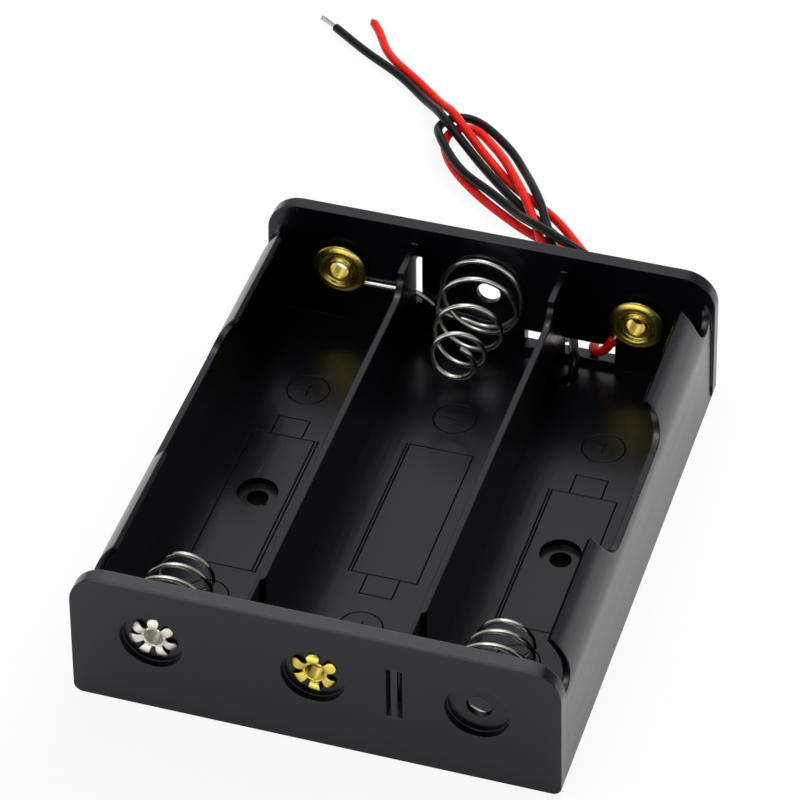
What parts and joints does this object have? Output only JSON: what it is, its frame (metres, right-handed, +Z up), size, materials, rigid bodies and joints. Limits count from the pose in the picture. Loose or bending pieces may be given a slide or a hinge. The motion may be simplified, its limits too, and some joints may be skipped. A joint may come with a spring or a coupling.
{
  "type": "cylindrical cell holder",
  "caption": "Open moulded tray for side-by-side cylindrical cells, with riveted button contacts, conical springs and loose wire leads.",
  "frame": {"origin": "centre of the flat underside of the tray, on the surface it stands on, measured without the free leads", "axes": "+X across the bays, +Y along the cells towards the wall with the wire outlet, +Z up"},
  "size_m": [0.0755, 0.1419, 0.0195],
  "materials": {
    "tray": "satin black moulded plastic",
    "brass": "pressed bright brass",
    "nickel": "nickel plated, pressed",
    "spring_wire": "nickel plated steel wire",
    "red_sleeve": "soft glossy PVC",
    "black_sleeve": "soft glossy PVC",
    "tinned_strand": "tinned copper strands",
    "copper_strand": "thinly tinned copper strands"
  },
  "bodies": {
    "root": {"tray": "tray", "contact_rear_left": "brass", "contact_rear_right": "brass", "contact_front_middle": "brass", "rivet_front_left": "nickel", "spring_front_left": "spring_wire", "spring_front_right": "spring_wire", "spring_rear_middle": "spring_wire", "red_lead_run": "red_sleeve", "red_strand_inner": "tinned_strand", "black_lead_run": "black_sleeve", "black_strand_inner": "tinned_strand", "red_lead": "red_sleeve", "red_strand_tip": "copper_strand", "black_lead": "black_sleeve", "black_strand_tip": "tinned_strand"}
  },
  "joints": []
}
